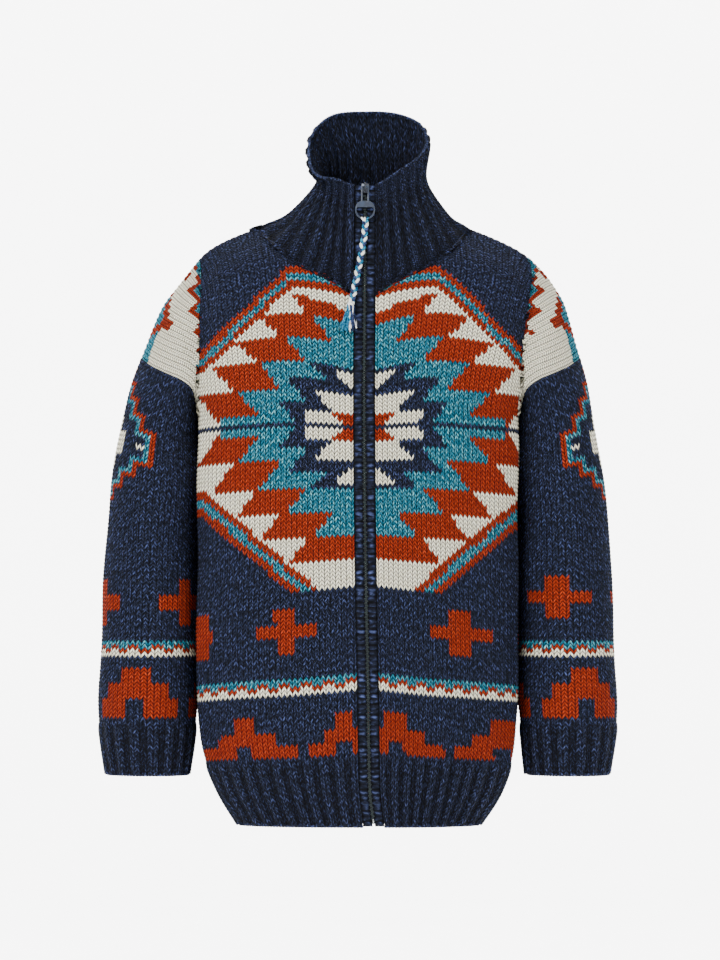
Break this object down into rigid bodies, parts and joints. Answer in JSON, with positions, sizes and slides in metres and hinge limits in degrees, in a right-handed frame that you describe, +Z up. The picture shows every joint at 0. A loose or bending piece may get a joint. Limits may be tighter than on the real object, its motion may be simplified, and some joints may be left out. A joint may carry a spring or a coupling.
{
  "type": "zip cardigan",
  "caption": "Bulky wool knit cardigan with a high ribbed collar, drop shoulders, a full front zip between knitted bands, and a braided cord and tassel on the zip's ring pull.",
  "frame": {"origin": "inside the neck, on the middle line between the two points where the collar meets the shoulder seams", "axes": "+Z up along the wearer's spine, -Y out of the garment's front, +X to the right in the picture (the wearer's left)"},
  "size_m": [0.592, 0.2656, 0.8204],
  "materials": {
    "navy_wool_knit": "bulky marled wool, stockinette and rib, navy ground with rust, cream and teal pattern yarns",
    "zip_tape": "woven dark navy zip tape",
    "zip_teeth": "darkened metal zip teeth with a faint green cast",
    "slider_steel": "plain silver-coloured slider",
    "pull_lacquer": "slate-blue lacquered metal, glossy",
    "pull_yarn": "white, teal and navy yarn in a three-strand braid",
    "tassel_yarn": "loose cut ends of teal, white and navy yarn"
  },
  "bodies": {
    "cardigan": {"front_left": "navy_wool_knit", "front_right": "navy_wool_knit", "back": "navy_wool_knit", "sleeve_left": "navy_wool_knit", "sleeve_right": "navy_wool_knit", "collar": "navy_wool_knit", "band_left": "navy_wool_knit", "band_right": "navy_wool_knit", "zip_tape_left": "zip_tape", "zip_tape_right": "zip_tape", "zip_chain": "zip_teeth", "zip_slider": "slider_steel"},
    "pull": {"pull_tab": "pull_lacquer", "pull_cord": "pull_yarn", "pull_tassel": "tassel_yarn"}
  },
  "joints": [
    {"name": "pull_swing", "type": "hinge", "parent": "cardigan", "child": "pull", "pos_m": [0.0035, -0.0872, 0.029], "axis": [-1, 0, 0], "range_deg": [0, 150]}
  ]
}
